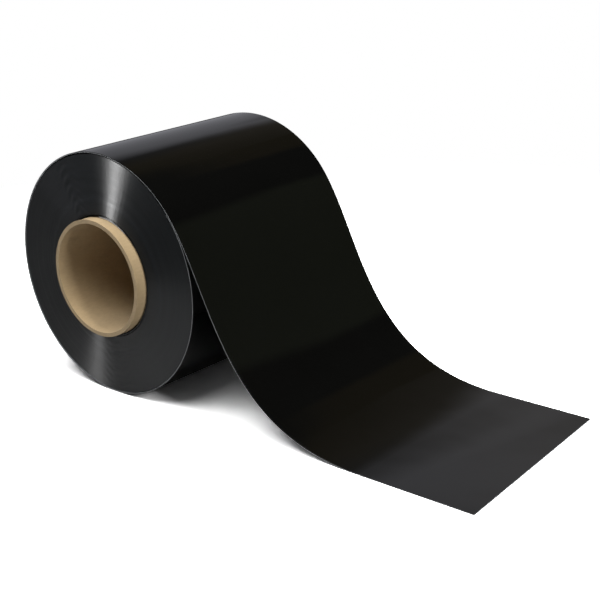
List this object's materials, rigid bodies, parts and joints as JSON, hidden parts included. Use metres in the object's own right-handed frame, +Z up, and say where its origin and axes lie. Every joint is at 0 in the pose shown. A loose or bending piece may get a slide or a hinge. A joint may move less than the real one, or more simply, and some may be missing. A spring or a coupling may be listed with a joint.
{
  "type": "roll of sign vinyl",
  "caption": "Roll of glossy black self-adhesive film on a release liner, wound on a board core, with its free end run off the roll and lying flat.",
  "frame": {"origin": "under the middle of the whole object's box, on the table", "axes": "+X along the roll's axis, -Y the way the free end lies, +Z up"},
  "size_m": [0.1688, 0.3848, 0.1694],
  "materials": {
    "core_board": "spiral-wound kraft board, unprinted",
    "film": "glossy black calendered film",
    "wound_edge": "slit edges of many turns, satin with fine rings",
    "liner": "grey translucent release film, silicone coated",
    "tape": "satin white splicing tape"
  },
  "bodies": {
    "web": {"film_turn": "film", "liner_turn": "liner"},
    "roll": {"core_ply_1": "core_board", "core_ply_2": "core_board", "core_ply_3": "core_board", "core_ply_4": "core_board", "start_tape": "tape", "first_turn": "wound_edge", "wound_turns": "wound_edge"},
    "web_end": {"liner_end": "liner", "film_mid": "film"},
    "peeled_film": {"film_end": "film"}
  },
  "joints": [
    {"name": "unwind", "type": "hinge", "parent": "web", "child": "roll", "pos_m": [0, 0.10768, 0.08449], "axis": [1, 0, 0], "continuous": true},
    {"name": "end_lift", "type": "hinge", "parent": "web", "child": "web_end", "pos_m": [0, -0.10987, 0.0017], "axis": [-1, 0, 0], "range_deg": [0, 40]},
    {"name": "film_peel", "type": "hinge", "parent": "web_end", "child": "peeled_film", "pos_m": [0, -0.13137, 0.0107], "axis": [-1, 0, 0], "range_deg": [0, 140]}
  ]
}
